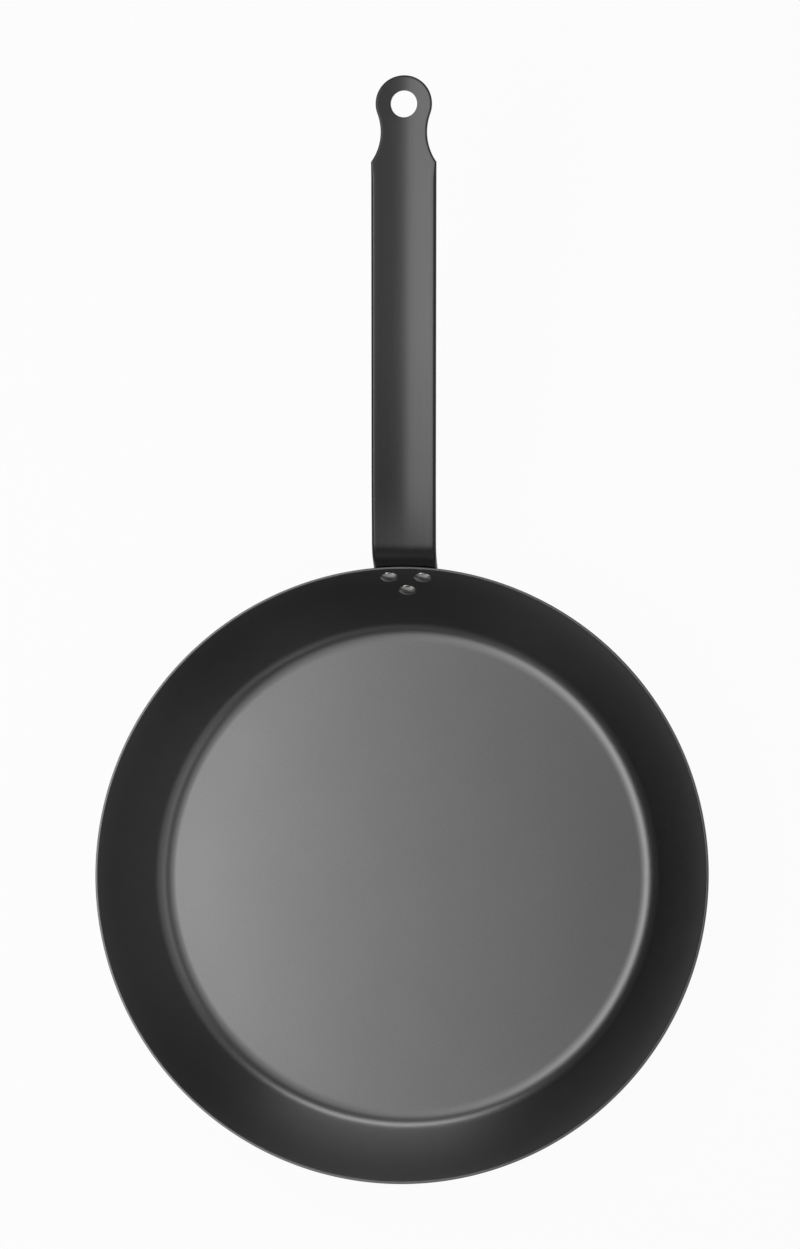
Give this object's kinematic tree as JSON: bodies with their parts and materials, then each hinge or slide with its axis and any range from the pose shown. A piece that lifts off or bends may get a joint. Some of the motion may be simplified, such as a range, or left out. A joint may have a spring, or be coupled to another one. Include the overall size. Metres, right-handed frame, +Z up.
{
  "type": "frying pan",
  "caption": "Round frying pan of dark carbon steel with a flat floor, flared wall and a long pressed strip handle, riveted on and pierced at its end for hanging.",
  "frame": {"origin": "centre of the pan's flat underside, where it stands on the hob", "axes": "+Z up out of the pan; +Y from the pan's centre along the handle to its hanging hole; +X to the right with the handle pointing away"},
  "size_m": [0.3, 0.5302, 0.1107],
  "materials": {
    "pan_steel": "dark satin rolled carbon steel with fine grain",
    "handle_steel": "dark satin pressed carbon steel strip with lighter worn edges",
    "rivet_steel": "bright smooth steel rivet"
  },
  "bodies": {
    "root": {"pan_body": "pan_steel", "handle": "handle_steel", "rivet_upper_left": "rivet_steel", "rivet_upper_right": "rivet_steel", "rivet_lower": "rivet_steel"}
  },
  "joints": []
}
